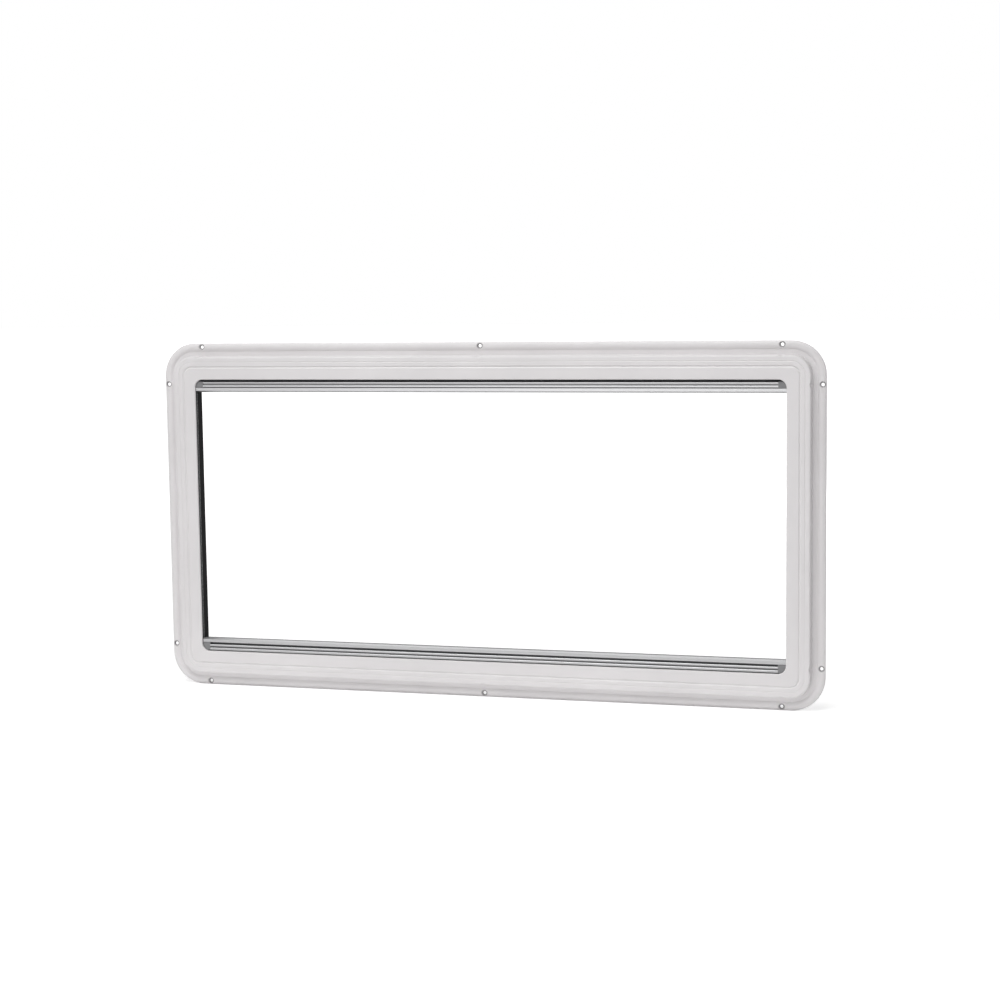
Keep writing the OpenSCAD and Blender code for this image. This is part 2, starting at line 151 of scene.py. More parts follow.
class MetalFinish(bpy.types.PropertyGroup):
    bar_colour: FloatVectorProperty(
        name="Bar colour", description="Colour of the anodised pull bars", subtype="COLOR", size=3,
        default=(0.70, 0.70, 0.71), min=0, max=1)
    tube_colour: FloatVectorProperty(
        name="Tube colour", description="Colour of the roller tubes", subtype="COLOR", size=3,
        default=(0.66, 0.66, 0.67), min=0, max=1)
    roughness: FloatProperty(
        name="Roughness", description="Roughness of the extruded metal", default=0.36, min=0, max=1)


class PlasticFinish(bpy.types.PropertyGroup):
    rail_colour: FloatVectorProperty(
        name="Rail colour", description="Colour of the guide rails", subtype="COLOR", size=3,
        default=(0.011, 0.011, 0.012), min=0, max=1)
    cap_colour: FloatVectorProperty(
        name="Cap colour", description="Colour of the bars' end caps", subtype="COLOR", size=3,
        default=(0.22, 0.22, 0.225), min=0, max=1)
    bracket_colour: FloatVectorProperty(
        name="Bracket colour", description="Colour of brackets and roller plugs", subtype="COLOR", size=3,
        default=(0.52, 0.52, 0.51), min=0, max=1)


class PileSettings(bpy.types.PropertyGroup):
    colour: FloatVectorProperty(
        name="Pile colour", description="Colour of the brush fibres in the guide rails", subtype="COLOR",
        size=3, default=(0.24, 0.24, 0.245), min=0, max=1)
    fibre_length: FloatProperty(
        name="Fibre length", description="How far the fibres reach into the running slot",
        default=2.9 * MM, min=0.7 * MM, max=3.2 * MM, subtype="DISTANCE")
    fibre_pitch: FloatProperty(
        name="Fibre pitch", description="Distance between two tufts along the rail", default=0.5 * MM,
        min=0.3 * MM, max=2 * MM, subtype="DISTANCE")
    backing: FloatProperty(
        name="Backing", description="Thickness of the strip that carries the fibres", default=0.35 * MM,
        min=0.1 * MM, max=0.6 * MM, subtype="DISTANCE")


class ClothFinish(bpy.types.PropertyGroup):
    mesh_colour: FloatVectorProperty(
        name="Mesh colour", description="Colour of the flyscreen's threads", subtype="COLOR", size=3,
        default=(0.045, 0.045, 0.048), min=0, max=1)
    mesh_pitch: FloatProperty(
        name="Mesh pitch", description="Distance between two threads of the flyscreen", default=1.3 * MM,
        min=0.8 * MM, max=3 * MM, subtype="DISTANCE")
    blackout_colour: FloatVectorProperty(
        name="Blackout colour", description="Colour of the coated blackout cloth", subtype="COLOR", size=3,
        default=(0.60, 0.60, 0.59), min=0, max=1)
    weave_pitch: FloatProperty(
        name="Weave pitch", description="Distance between two threads under the coating", default=0.5 * MM,
        min=0.2 * MM, max=2 * MM, subtype="DISTANCE")
    gap: FloatProperty(
        name="Gap between turns", description="Space between two turns on a roller, as a share of the pitch",
        default=0.15, min=0.05, max=0.5)


class ScrewSettings(bpy.types.PropertyGroup):
    head_radius: FloatProperty(
        name="Head radius", description="Radius of a bracket screw's head", default=2.3 * MM,
        min=1.5 * MM, max=3 * MM, subtype="DISTANCE")
    head_height: FloatProperty(
        name="Head height", description="Height of a bracket screw's head", default=1.4 * MM,
        min=0.8 * MM, max=1.6 * MM, subtype="DISTANCE")
    edge_distance: FloatProperty(
        name="Edge distance", description="Distance from a screw to the ends of its bracket's foot",
        default=3.6 * MM, min=3 * MM, max=6 * MM, subtype="DISTANCE")


class StageSettings(bpy.types.PropertyGroup):
    world_level: FloatProperty(
        name="World level", description="Brightness of the light from all round", default=0.50, min=0, max=2)
    right_level: FloatProperty(
        name="Right level", description="Share of that light that comes from the right", default=0.15,
        min=0, max=1)
    key_power: FloatProperty(
        name="Key power", description="Power of the large light overhead", default=43, min=0, max=500,
        unit="POWER")
    floor_glow: FloatProperty(
        name="Floor glow", description="How much the floor is lifted towards white", default=0.48,
        min=0, max=1)
    fill_power: FloatProperty(
        name="Fill power", description="Power of the low light that lies in front of the window",
        default=0.53, min=0, max=50, unit="POWER")
    front_power: FloatProperty(
        name="Front power", description="Power of the light beside the camera", default=7.2, min=0, max=500,
        unit="POWER")
    back_power: FloatProperty(
        name="Back power", description="Power of the light behind the window", default=12, min=0, max=500,
        unit="POWER")


# Selection and mesh helpers

def deselect():
    for obj in bpy.context.selected_objects:
        obj.select_set(False)


def named(name):
    obj = bpy.context.object
    obj.name = name
    obj.data.name = name
    return obj


def settle(obj):
    """Put an object's place, turn and size into its mesh."""
    deselect()
    obj.select_set(True)
    bpy.context.view_layer.objects.active = obj
    bpy.ops.object.transform_apply(location=True, rotation=True, scale=True)


def apply_modifier(obj, kind, **settings):
    deselect()
    obj.select_set(True)
    bpy.context.view_layer.objects.active = obj
    modifier = obj.modifiers.new(kind.title(), kind)
    for setting, value in settings.items():
        setattr(modifier, setting, value)
    bpy.ops.object.modifier_apply(modifier=modifier.name)


def join(name, pieces):
    deselect()
    for piece in pieces:
        piece.select_set(True)
    bpy.context.view_layer.objects.active = pieces[0]
    bpy.ops.object.join()
    return named(name)


def finish_piece(obj, material, slot, *nodes):
    obj.data.materials.clear()
    obj.data.materials.append(material)
    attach(obj, "root")
    if nodes:
        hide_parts(*nodes)


# Materials

def new_material(name):
    material = bpy.data.materials.new(name)
    material.use_nodes = True
    nodes, links = material.node_tree.nodes, material.node_tree.links
    return material, nodes, links, nodes["Principled BSDF"]


def object_coordinates(nodes, links, scale=(1, 1, 1)):
    coordinates = nodes.new("ShaderNodeTexCoord")
    mapping = nodes.new("ShaderNodeMapping")
    mapping.inputs["Scale"].default_value = scale
    links.new(coordinates.outputs["Object"], mapping.inputs["Vector"])
    return mapping.outputs["Vector"]


def noise(nodes, links, vector, scale, detail=2.0, roughness=0.5):
    texture = nodes.new("ShaderNodeTexNoise")
    texture.inputs["Scale"].default_value = scale
    texture.inputs["Detail"].default_value = detail
    texture.inputs["Roughness"].default_value = roughness
    links.new(vector, texture.inputs["Vector"])
    return texture.outputs["Fac"]


def map_range(nodes, links, value, low, high, from_low=0.3, from_high=0.7):
    node = nodes.new("ShaderNodeMapRange")
    node.inputs["From Min"].default_value = from_low
    node.inputs["From Max"].default_value = from_high
    node.inputs["To Min"].default_value = low
    node.inputs["To Max"].default_value = high
    links.new(value, node.inputs["Value"])
    return node.outputs["Result"]


def mix_colours(nodes, links, factor, first, second):
    node = nodes.new("ShaderNodeMix")
    node.data_type = "RGBA"
    node.inputs[6].default_value = (*first, 1)
    node.inputs[7].default_value = (*second, 1)
    links.new(factor, node.inputs[0])
    return node.outputs[2]


def bump(nodes, links, height, distance, normal=None):
    node = nodes.new("ShaderNodeBump")
    node.inputs["Strength"].default_value = 1
    node.inputs["Distance"].default_value = distance
    links.new(height, node.inputs["Height"])
    if normal is not None:
        links.new(normal, node.inputs["Normal"])
    return node.outputs["Normal"]


def calculate(nodes, links, operation, first, second=None, third=None):
    node = nodes.new("ShaderNodeMath")
    node.operation = operation
    for socket, value in zip(node.inputs, (first, second, third)):
        if value is None:
            continue
        if isinstance(value, (int, float)):
            socket.default_value = value
        else:
            links.new(value, socket)
    return node.outputs[0]


def axes(nodes, links, vector):
    node = nodes.new("ShaderNodeSeparateXYZ")
    links.new(vector, node.inputs[0])
    return node.outputs


def shade(colour, factor):
    return tuple(min(1, c * factor) for c in colour)


def moulded_plastic(name, colour, roughness, grain, spread=0.03, screw_holes=()):
    """Moulded plastic: faint clouds of colour, uneven gloss, a fine mould grain and painted shade in the screw
    holes' countersinks.
    """
    material, nodes, links, surface = new_material(name)
    place = object_coordinates(nodes, links)
    clouds = noise(nodes, links, place, 9, 3)
    tint = map_range(nodes, links, clouds, 0, 1)
    plastic = mix_colours(nodes, links, tint, shade(colour, 1 - spread), shade(colour, 1 + spread))
    # Painted shade in the countersinks around the screw holes
    if screw_holes:
        plastic = darken(nodes, links, plastic, sink_shade(nodes, links, place, screw_holes))
    links.new(plastic, surface.inputs["Base Color"])
    gloss = noise(nodes, links, place, 60, 4)
    links.new(map_range(nodes, links, gloss, roughness - 0.04, roughness + 0.05), surface.inputs["Roughness"])
    fine = noise(nodes, links, place, 2200, 2)
    links.new(bump(nodes, links, fine, grain), surface.inputs["Normal"])
    surface.inputs["IOR"].default_value = 1.5
    return material


def screw_hole_places():
    """Where the screw holes are, measured from the window's middle, one for each mirrored set."""
    places = []
    for mount in frame["record"]["mounts"]:
        if mount["kind"] == "bolt_pattern":
            sizes = mount["dims"]
            places.append((sizes.get("spacing_x_mm", 0) / 2 * MM, sizes.get("spacing_y_mm", 0) / 2 * MM))
    return places


def sink_shade(nodes, links, place, holes):
    """Painted shade: how much darker the frame is painted in its countersinks, on the front only."""
    x, y, z = axes(nodes, links, place)
    across = calculate(nodes, links, "ABSOLUTE", x)
    up = calculate(nodes, links, "ABSOLUTE", calculate(nodes, links, "SUBTRACT", z, MIDDLE.z))
    shadow = None
    for hole_x, hole_z in holes:
        side = calculate(nodes, links, "SUBTRACT", across, hole_x)
        rise = calculate(nodes, links, "SUBTRACT", up, hole_z)
        squares = [calculate(nodes, links, "POWER", part, 2) for part in (side, rise)]
        away = calculate(nodes, links, "SQRT", calculate(nodes, links, "ADD", *squares))
        near = map_range(nodes, links, away, SINK_SHADE, 0, SINK_RADIUS * 0.6, SINK_RADIUS)
        shadow = near if shadow is None else calculate(nodes, links, "MAXIMUM", shadow, near)
    in_front = calculate(nodes, links, "LESS_THAN", y, SINK_BACK)
    return calculate(nodes, links, "MULTIPLY", shadow, in_front)


def darken(nodes, links, colour, amount):
    """Mix a colour with near black by an amount from 0 to 1."""
    dark = nodes.new("ShaderNodeMix")
    dark.data_type = "RGBA"
    dark.inputs[7].default_value = (0.03, 0.03, 0.032, 1)
    links.new(amount, dark.inputs[0])
    links.new(colour, dark.inputs[6])
    return dark.outputs[2]


def bar_shadows(nodes, links, edge):
    """Painted shade: how much darker a pull bar is painted in its grooves and on the face that ends its lip.
    """
    low, high = box_of(f"{edge}_bar")
    start = low.z if EDGES[edge] > 0 else high.z
    place = axes(nodes, links, object_coordinates(nodes, links))
    # Painted shade on the face that ends the lip
    end_band = calculate(nodes, links, "COMPARE", place[2], start, END_FACE_DEPTH)
    behind = calculate(nodes, links, "GREATER_THAN", place[1], low.y + LIP_BEVEL_DEPTH - 0.1 * MM)
    end_band = calculate(nodes, links, "MULTIPLY", end_band, behind)
    shadow = calculate(nodes, links, "MULTIPLY", end_band, END_FACE_SHADE)
    behind = calculate(nodes, links, "GREATER_THAN", place[1], low.y + BAR_FRONT_DEPTH)
    # Painted shade in each groove, behind the bar's front
    for near, far, share in BAR_GROOVES[edge]:
        centre = start + EDGES[edge] * (near + far) / 2
        band = calculate(nodes, links, "COMPARE", place[2], centre, (far - near) / 2 + GROOVE_MARGIN)
        groove = calculate(nodes, links, "MULTIPLY", band, behind)
        groove = calculate(nodes, links, "MULTIPLY", groove, share)
        shadow = calculate(nodes, links, "MAXIMUM", shadow, groove)
    return shadow


def extruded_metal(name, colour, roughness, grooves=None):
    """Anodised extrusion: fine draw lines along X, an uneven gloss and, on a bar, painted shade in its grooves
    and on the face that ends its lip.
    """
    material, nodes, links, surface = new_material(name)
    lines = object_coordinates(nodes, links, (3, 900, 900))
    streaks = noise(nodes, links, lines, 1, 3, 0.6)
    tint = map_range(nodes, links, streaks, 0, 1)
    metal = mix_colours(nodes, links, tint, shade(colour, 0.96), shade(colour, 1.03))
    # On a pull bar: painted shade in its grooves and on the face that ends its lip
    if grooves:
        metal = darken(nodes, links, metal, bar_shadows(nodes, links, grooves))
    links.new(metal, surface.inputs["Base Color"])
    links.new(map_range(nodes, links, streaks, roughness - 0.05, roughness + 0.06),
              surface.inputs["Roughness"])
    links.new(bump(nodes, links, streaks, 0.004 * MM), surface.inputs["Normal"])
    surface.inputs["Metallic"].default_value = 1
    return material


def extruded_plastic(name, colour):
    """Black extruded plastic: dull, with faint draw lines along the rail."""
    material, nodes, links, surface = new_material(name)
    lines = object_coordinates(nodes, links, (1100, 1100, 4))
    streaks = noise(nodes, links, lines, 1, 3, 0.6)
    tint = map_range(nodes, links, streaks, 0, 1)
    links.new(mix_colours(nodes, links, tint, shade(colour, 0.7), shade(colour, 1.5)),
              surface.inputs["Base Color"])
    links.new(map_range(nodes, links, streaks, 0.62, 0.8), surface.inputs["Roughness"])
    links.new(bump(nodes, links, streaks, 0.006 * MM), surface.inputs["Normal"])
    surface.inputs["Specular IOR Level"].default_value = 0.08
    return material


def zinc_plate(name):
    """Bright zinc plating: small clouds in its colour and gloss."""
    material, nodes, links, surface = new_material(name)
    clouds = noise(nodes, links, object_coordinates(nodes, links), 700, 3)
    tint = map_range(nodes, links, clouds, 0, 1)
    links.new(mix_colours(nodes, links, tint, (0.55, 0.56, 0.58), (0.70, 0.71, 0.72)),
              surface.inputs["Base Color"])
    links.new(map_range(nodes, links, clouds, 0.25, 0.4), surface.inputs["Roughness"])
    surface.inputs["Metallic"].default_value = 1
    return material


def pile_fibres(name, colour):
    """Brush fibres: dull, with every tuft a little lighter or darker than the next."""
    material, nodes, links, surface = new_material(name)
    place = object_coordinates(nodes, links, (900, 900, 900))
    tufts = map_range(nodes, links, noise(nodes, links, place, 1, 2), 0, 1)
    links.new(mix_colours(nodes, links, tufts, shade(colour, 0.6), shade(colour, 1.5)),
              surface.inputs["Base Color"])
    surface.inputs["Roughness"].default_value = 0.9
    surface.inputs["Specular IOR Level"].default_value = 0.1
    surface.inputs["Sheen Weight"].default_value = 0.2
    return material


def threads(nodes, links, pitch):
    """The upper threads' height, the weave and the place, on a cloth whose UV map is in metres."""
    coordinates = nodes.new("ShaderNodeUVMap")
    place = axes(nodes, links, coordinates.outputs["UV"])
    heights = []
    for axis in (0, 1):
        turns = calculate(nodes, links, "MULTIPLY", place[axis], 2 * math.pi / pitch)
        heights.append(calculate(nodes, links, "COSINE", turns))
    crossing = calculate(nodes, links, "MULTIPLY", heights[0], heights[1])
    upper = calculate(nodes, links, "MAXIMUM", heights[0], heights[1])
    return upper, crossing, coordinates.outputs["UV"]


def screen_mesh(name, colour, pitch):
    """Insect mesh: crossing threads with dark openings between them."""
    material, nodes, links, surface = new_material(name)
    upper = threads(nodes, links, pitch)[0]
    solid = map_range(nodes, links, upper, 0, 1)
    links.new(mix_colours(nodes, links, solid, shade(colour, 0.15), shade(colour, 1.6)),
              surface.inputs["Base Color"])
    links.new(bump(nodes, links, solid, 0.12 * MM), surface.inputs["Normal"])
    surface.inputs["Roughness"].default_value = 0.55
    surface.inputs["Specular IOR Level"].default_value = 0.35
    return material


def coated_cloth(name, colour, pitch):
    """Coated blackout cloth: the weave shows faintly through a dull coating with slight clouds."""
    material, nodes, links, surface = new_material(name)
    crossing, place = threads(nodes, links, pitch)[1:]
    clouds = noise(nodes, links, place, 35, 4)
    links.new(mix_colours(nodes, links, map_range(nodes, links, clouds, 0, 1), shade(colour, 0.94),
                          shade(colour, 1.05)), surface.inputs["Base Color"])
    weave = bump(nodes, links, map_range(nodes, links, crossing, 0, 1, -1, 1), 0.03 * MM)
    slack = noise(nodes, links, place, 14, 2)
    links.new(bump(nodes, links, slack, 0.25 * MM, weave), surface.inputs["Normal"])
    links.new(map_range(nodes, links, clouds, 0.62, 0.78), surface.inputs["Roughness"])
    surface.inputs["Specular IOR Level"].default_value = 0.3
    return material


def dress(node_name, material):
    obj = NODES[node_name]
    obj.data.materials.clear()
    obj.data.materials.append(material)


# Operators

class WINDOW_OT_finish_frame(bpy.types.Operator):
    """Give the moulded frame its pale grey plastic"""
    bl_idname = "window.finish_frame"
    bl_label = "Finish Frame"

    def execute(self, context):
        finish = context.scene.window_frame
        plastic = moulded_plastic("frame_plastic", finish.colour, finish.roughness, finish.grain,
                                  screw_holes=screw_hole_places())
        dress("moulded_frame", plastic)
        return {"FINISHED"}


class WINDOW_OT_finish_rails(bpy.types.Operator):
    """Give the guide rails their black plastic"""
    bl_idname = "window.finish_rails"
    bl_label = "Finish Rails"

    def execute(self, context):
        finish = context.scene.window_plastic
        rail = extruded_plastic("rail_plastic", finish.rail_colour)
        for side in SIDES:
            dress(f"guide_rail_{side}", rail)
        return {"FINISHED"}


class WINDOW_OT_brush_rails(bpy.types.Operator):
    """Line the running slots of the guide rails with strips of brush pile"""
    bl_idname = "window.brush_rails"
    bl_label = "Brush Rails"

    def execute(self, context):
        settings = context.scene.window_pile
        material = pile_fibres("pile", settings.colour)
        chance = random.Random(7)
        for side in SIDES:
            low, high = box_of(f"rail_pile_{side}")
            strips = []
            for wall, inwards in ((low.y, 1), (high.y, -1)):
                strips.append(self.backing(low, high, wall, inwards, settings))
                for row in FIBRE_ROWS:
                    across = low.x + row * (high.x - low.x)
                    strips.append(self.tufts(low, high, across, wall, inwards, settings, chance))
            brush = join(f"brush_pile_{side}", strips)
            finish_piece(brush, material, "pile", f"rail_pile_{side}")
        return {"FINISHED"}

    def backing(self, low, high, wall, inwards, settings):
        deselect()
        middle = (low + high) / 2
        place = (middle.x, wall + inwards * settings.backing / 2, middle.z)
        bpy.ops.mesh.primitive_cube_add(size=1, location=place)
        strip = bpy.context.object
        strip.scale = (high.x - low.x, settings.backing, high.z - low.z)
        settle(strip)
        apply_modifier(strip, "BEVEL", width=settings.backing * 0.3, segments=2)
        return strip

    def tufts(self, low, high, across, wall, inwards, settings, chance):
        """One row of tapered tufts up a rail, each bent a little, and pressed flat beside the bars."""
        deselect()
        length = settings.fibre_length
        count = int((high.z - low.z) / settings.fibre_pitch) - 1
        start = (across, wall + inwards * length / 2, low.z + settings.fibre_pitch)
        bpy.ops.mesh.primitive_cone_add(
            vertices=3, radius1=ROOT_RADIUS, radius2=TIP_RADIUS, depth=length,
            end_fill_type="NOTHING", location=start, rotation=(-inwards * math.pi / 2, 0, 0))
        row = bpy.context.object
        settle(row)
        apply_modifier(row, "ARRAY", count=count, use_relative_offset=False, use_constant_offset=True,
                       constant_offset_displace=(0, 0, settings.fibre_pitch))
        tip = wall + inwards * length
        free_low = box_of("blind_bar_cap_left")[1].z + MM
        free_high = box_of("screen_bar_cap_left")[0].z - MM
        bends = {}
        for vertex in row.data.vertices:
            if abs(vertex.co.y - tip) > length / 4:
                continue
            tuft = round((vertex.co.z - start[2]) / settings.fibre_pitch)
            if tuft not in bends:
                bends[tuft] = (chance.uniform(-0.35, 0.35) * MM, chance.uniform(-0.5, 0.1) * MM,
                               chance.uniform(-0.45, 0.45) * MM)
            across_shift, short, along_shift = bends[tuft]
            vertex.co.x += across_shift
            vertex.co.y += inwards * short
            vertex.co.z += along_shift
            if not free_low < vertex.co.z < free_high:
                vertex.co.y = wall + inwards * PRESSED_FIBRE
        return row


class WINDOW_OT_finish_bars(bpy.types.Operator):
    """Give the pull bars their anodised metal and their caps dark plastic"""
    bl_idname = "window.finish_bars"
    bl_label = "Finish Pull Bars"

    def execute(self, context):
        metal = context.scene.window_metal
        plastic = context.scene.window_plastic
        cap = moulded_plastic("cap_plastic", plastic.cap_colour, 0.5, 0.01 * MM)
        for edge in EDGES:
            # Each bar gets its own darker copy of the one metal, as painted shade
            shaded_bar_colour = shade(metal.bar_colour, BAR_PAINTED_SHADES[edge])
            bar = extruded_metal(f"bar_aluminium_{edge}", shaded_bar_colour, metal.roughness, edge)
            dress(f"{edge}_bar", bar)
            for side in SIDES:
                dress(f"{edge}_bar_cap_{side}", cap)
        return {"FINISHED"}


class WINDOW_OT_finish_rollers(bpy.types.Operator):
    """Give the roller tubes, plugs and brackets their materials"""
    bl_idname = "window.finish_rollers"
    bl_label = "Finish Rollers"

    def execute(self, context):
        metal = context.scene.window_metal
        plastic = context.scene.window_plastic
        tube = extruded_metal("tube_aluminium", metal.tube_colour, metal.roughness + 0.05)
        bracket = moulded_plastic("bracket_plastic", plastic.bracket_colour, 0.45, 0.01 * MM)
        for edge in EDGES:
            dress(f"{edge}_roller_tube", tube)
            for side in SIDES:
                dress(f"{edge}_roller_plug_{side}", bracket)
                dress(f"{edge}_bracket_{side}", bracket)
        return {"FINISHED"}


class WINDOW_OT_wind_cloths(bpy.types.Operator):
    """Wind the flyscreen and the blackout cloth on their rollers and lead them into the pull bars"""
    bl_idname = "window.wind_cloths"
    bl_label = "Wind Cloths"

    def execute(self, context):
        finish = context.scene.window_cloth
        mesh = screen_mesh("mesh_cloth", finish.mesh_colour, finish.mesh_pitch)
        blackout = coated_cloth("blackout_cloth", finish.blackout_colour, finish.weave_pitch)
        self.wind("screen", "flyscreen_mesh", "wound_flyscreen", mesh, "mesh_cloth", finish.gap)
        self.wind("blind", "blackout_cloth", "wound_blackout", blackout, "blackout_cloth", finish.gap)
        return {"FINISHED"}

    def wind(self, edge, node, name, material, slot, gap):
        place = EDGES[edge]
        low, high = box_of(node)
        tube_low, tube_high = box_of(f"{edge}_roller_tube")
        axis = (tube_low + tube_high) / 2
        core = (tube_high.z - tube_low.z) / 2 + CORE_GAP
        outer = abs((high.z if place > 0 else low.z) - axis.z)
        hem = low.z if place > 0 else high.z
        width = high.x - low.x
        pitch = self.turn_pitch(edge, outer, core)
        route = self.route(axis, place, outer, core, hem, pitch)
        lengths = [0.0]
        for before, after in zip(route, route[1:]):
            lengths.append(lengths[-1] + math.dist(before, after))
        deselect()
        rows = len(route) - 1
        bpy.ops.mesh.primitive_grid_add(
            x_subdivisions=WIDTH_STEPS, y_subdivisions=rows, size=1, calc_uvs=True)
        cloth = named(name)
        for vertex in cloth.data.vertices:
            y, z = route[round((vertex.co.y + 0.5) * rows)]
            vertex.co = (vertex.co.x * width, y, z)
        for entry in cloth.data.uv_layers.active.data:
            along = lengths[min(rows, round(entry.uv[1] * rows))]
            entry.uv = (entry.uv[0] * width, along)
        apply_modifier(cloth, "SOLIDIFY", thickness=pitch * (1 - gap), offset=0)
        deselect()
        cloth.select_set(True)
        bpy.ops.object.shade_smooth_by_angle(angle=math.radians(40))
        finish_piece(cloth, material, slot, node)

    def turn_pitch(self, edge, outer, core):
        """Distance from turn to turn, near the cloth's own, for a whole number of turns."""
        turns = round((outer - core) / CLOTH_PITCHES[edge])
        return (outer - core) / turns

    def route(self, axis, place, outer, core, hem, pitch):
        """Points from the inner end on the tube, round all the turns, and straight to the bar."""
        count = round((outer - core) / pitch - 1) * TURN_STEPS
        points = []
        for i in range(count, -1, -1):
            angle = 2 * math.pi * i / TURN_STEPS
            radius = outer - pitch / 2 - pitch * i / TURN_STEPS
            points.append((axis.y - radius * math.cos(angle), axis.z + place * radius * math.sin(angle)))
        front = points[-1][0]
        for i in range(1, STRAIGHT_STEPS + 1):
            points.append((front, axis.z + (hem - axis.z) * i / STRAIGHT_STEPS))
        return points


class WINDOW_OT_fit_screws(bpy.types.Operator):
    """Put two small cross-head screws in the foot of each roller bracket"""
    bl_idname = "window.fit_screws"
    bl_label = "Fit Bracket Screws"

    def execute(self, context):
        settings = context.scene.window_screw
        material = zinc_plate("screw_zinc")
        for edge in EDGES:
            for side in SIDES:
                screws = [self.screw(place, settings) for place in self.places(edge, side, settings)]
                pair = join(f"screws_{edge}_{side}", screws)
                finish_piece(pair, material, "tube_aluminium")
        return {"FINISHED"}

    def places(self, edge, side, settings):
        """Middles of the screws, on the back of the bracket's foot."""
        low, high = box_of(f"{edge}_bracket_{side}")
        foot_back = low.y + FOOT_THICKNESS
        inner = high.x if SIDES[side] < 0 else low.x
        across = inner + SIDES[side] * SCREW_INSET
        far = high.z if EDGES[edge] > 0 else low.z
        tube_low, tube_high = box_of(f"{edge}_roller_tube")
        axis_z = (tube_low.z + tube_high.z) / 2
        reach = abs(far - axis_z) - settings.edge_distance
        return [(across, foot_back, axis_z + EDGES[edge] * reach),
                (across, foot_back, axis_z - EDGES[edge] * (reach + SCREW_OFFSET))]

    def screw(self, place, settings):
        deselect()
        x, y, z = place
        tall = settings.head_height
        bpy.ops.mesh.primitive_cylinder_add(
            vertices=32, radius=settings.head_radius, depth=tall, location=(x, y + tall / 2, z),
            rotation=(-math.pi / 2, 0, 0))
        head = bpy.context.object
        settle(head)
        bpy.ops.object.mode_set(mode="EDIT")
        bpy.ops.mesh.select_all(action="DESELECT")
        bpy.ops.object.mode_set(mode="OBJECT")
        for polygon in head.data.polygons:
            polygon.select = polygon.normal.y > 0.9
        bpy.ops.object.mode_set(mode="EDIT")
        bpy.ops.mesh.bevel(offset=tall * 0.55, segments=4, affect="EDGES")
        bpy.ops.object.mode_set(mode="OBJECT")
        cutters = []
        for turn in (0, math.pi / 2):
            bpy.ops.mesh.primitive_cube_add(size=1, location=(x, y + tall, z), rotation=(0, turn, 0))
            cutter = bpy.context.object
            cutter.scale = (settings.head_radius * 1.1, tall * 0.9, settings.head_radius * 0.28)
            settle(cutter)
            cutters.append(cutter)
        for cutter in cutters:
            apply_modifier(head, "BOOLEAN", operation="DIFFERENCE", object=cutter, solver="EXACT")
            bpy.data.objects.remove(cutter)
        deselect()
        head.select_set(True)
        bpy.ops.object.shade_smooth_by_angle(angle=math.radians(35))
        return head


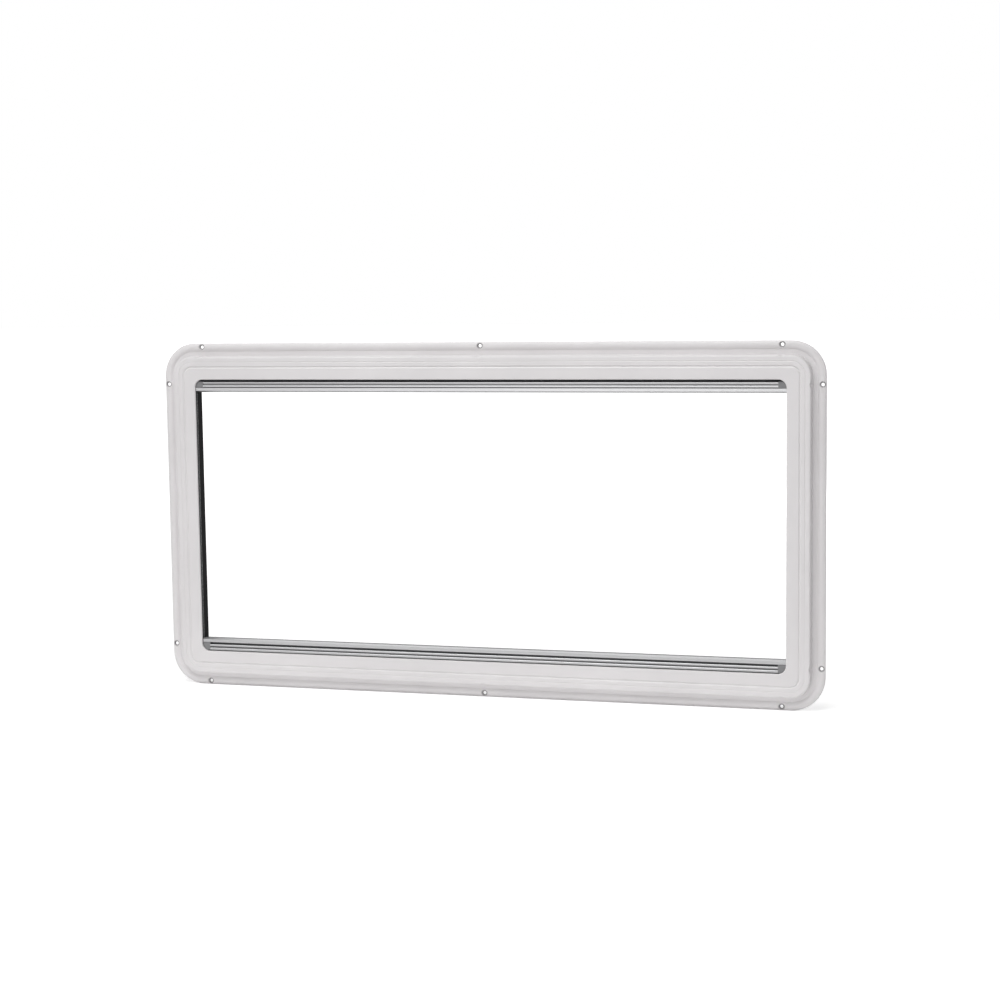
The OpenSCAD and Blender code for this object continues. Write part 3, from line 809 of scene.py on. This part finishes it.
class WINDOW_OT_build_stage(bpy.types.Operator):
    """Set the floor, the light and the camera"""
    bl_idname = "window.build_stage"
    bl_label = "Build Stage"

    def execute(self, context):
        stage = context.scene.window_stage
        self.build_floor(stage)
        self.build_world(context, stage)
        self.build_lights(stage)
        self.build_camera(context)
        context.scene.view_settings.view_transform = "Standard"
        return {"FINISHED"}

    def build_floor(self, stage):
        deselect()
        bpy.ops.mesh.primitive_plane_add(size=FLOOR_SIZE, location=(0, 0, 0))
        floor = named("floor")
        for vertex in floor.data.vertices:
            vertex.co.z = FRAME_LOW.z
        material, nodes, links, surface = new_material("floor_white")
        surface.inputs["Base Color"].default_value = (0.9, 0.9, 0.9, 1)
        surface.inputs["Roughness"].default_value = 1
        surface.inputs["Specular IOR Level"].default_value = 0
        surface.inputs["Emission Color"].default_value = (1, 1, 1, 1)
        path = nodes.new("ShaderNodeLightPath")
        away = nodes.new("ShaderNodeVectorMath")
        away.operation = "LENGTH"
        links.new(object_coordinates(nodes, links), away.inputs[0])
        glow = map_range(nodes, links, away.outputs["Value"], stage.floor_glow, FAR_GLOW,
                         GLOW_START, GLOW_END)
        glow = calculate(nodes, links, "MULTIPLY", glow, path.outputs["Is Camera Ray"])
        links.new(glow, surface.inputs["Emission Strength"])
        floor.data.materials.append(material)

    def build_world(self, context, stage):
        world = bpy.data.worlds.new("studio")
        context.scene.world = world
        world.use_nodes = True
        nodes, links = world.node_tree.nodes, world.node_tree.links
        background = nodes["Background"]
        background.inputs["Color"].default_value = (1, 1, 1, 1)
        path = nodes.new("ShaderNodeLightPath").outputs
        seen = calculate(nodes, links, "MAXIMUM", path["Is Camera Ray"], path["Is Transmission Ray"])
        seen = calculate(nodes, links, "MAXIMUM", seen, path["Is Glossy Ray"])
        sky = nodes.new("ShaderNodeTexCoord")
        rightwards = axes(nodes, links, sky.outputs["Generated"])[0]
        dimmed = stage.world_level * stage.right_level
        light = map_range(nodes, links, rightwards, stage.world_level, dimmed, 0, 0.9)
        level = nodes.new("ShaderNodeMix")
        level.inputs[3].default_value = 1
        links.new(seen, level.inputs[0])
        links.new(light, level.inputs[2])
        links.new(level.outputs[0], background.inputs["Strength"])

    def build_lights(self, stage):
        self.area_light("key", (-0.2, -1.3, 2.6), MIDDLE, 2.4, 1.6, stage.key_power)
        place = Vector((0, -FILL_GAP - FILL_DEPTH / 2, FRAME_LOW.z + FILL_HEIGHT))
        above = place + Vector((0, 0, 1))
        fill = self.area_light("fill", place, above, 2.2, FILL_DEPTH, stage.fill_power)
        fill.visible_glossy = False
        self.area_light("front", (-0.5, -3, 0.3), MIDDLE, 1.6, 1.2, stage.front_power)
        back = self.area_light("back", (0.5, 2.8, 0.9), MIDDLE, 1.6, 1.2, stage.back_power)
        back.visible_glossy = False

    def area_light(self, name, place, aim, width, height, power):
        data = bpy.data.lights.new(name, "AREA")
        data.shape = "RECTANGLE"
        data.size = width
        data.size_y = height
        data.energy = power
        light = bpy.data.objects.new(name, data)
        bpy.context.scene.collection.objects.link(light)
        light.location = place
        light.rotation_euler = (aim - Vector(place)).to_track_quat("-Z", "Y").to_euler()
        light.visible_camera = False
        return light

    def build_camera(self, context):
        data = bpy.data.cameras.new("camera")
        data.sensor_width = 36
        data.lens = CAMERA_LENS
        data.clip_end = 200
        camera = bpy.data.objects.new("camera", data)
        context.scene.collection.objects.link(camera)
        camera.location = Vector((MIDDLE.x, 0, MIDDLE.z)) + Vector(CAMERA_PLACE)
        camera.rotation_euler = [math.radians(angle) for angle in CAMERA_TURN]
        context.scene.camera = camera


class WINDOW_PT_panel(bpy.types.Panel):
    bl_idname = "WINDOW_PT_panel"
    bl_label = "Caravan Window"
    bl_space_type = "VIEW_3D"
    bl_region_type = "UI"
    bl_category = "Window"

    def draw(self, context):
        for group in GROUPS:
            settings = getattr(context.scene, group)
            for name in settings.bl_rna.properties.keys():
                if name not in ("rna_type", "name"):
                    self.layout.prop(settings, name)
        for operator in OPERATORS:
            self.layout.operator(operator.bl_idname)


GROUPS = {
    "window_frame": FrameFinish,
    "window_metal": MetalFinish,
    "window_plastic": PlasticFinish,
    "window_pile": PileSettings,
    "window_cloth": ClothFinish,
    "window_screw": ScrewSettings,
    "window_stage": StageSettings,
}
OPERATORS = (
    WINDOW_OT_finish_frame,
    WINDOW_OT_finish_rails,
    WINDOW_OT_brush_rails,
    WINDOW_OT_finish_bars,
    WINDOW_OT_finish_rollers,
    WINDOW_OT_wind_cloths,
    WINDOW_OT_fit_screws,
    WINDOW_OT_build_stage,
)


def register():
    for name, group in GROUPS.items():
        bpy.utils.register_class(group)
        setattr(bpy.types.Scene, name, PointerProperty(type=group))
    for cls in (*OPERATORS, WINDOW_PT_panel):
        bpy.utils.register_class(cls)


def unregister():
    for cls in reversed((*OPERATORS, WINDOW_PT_panel)):
        bpy.utils.unregister_class(cls)
    for name, group in reversed(GROUPS.items()):
        delattr(bpy.types.Scene, name)
        bpy.utils.unregister_class(group)


def main():
    register()
    bpy.ops.window.finish_frame()
    bpy.ops.window.finish_rails()
    bpy.ops.window.brush_rails()
    bpy.ops.window.finish_bars()
    bpy.ops.window.finish_rollers()
    bpy.ops.window.wind_cloths()
    bpy.ops.window.fit_screws()
    bpy.ops.window.build_stage()


if __name__ == "__main__":
    main()
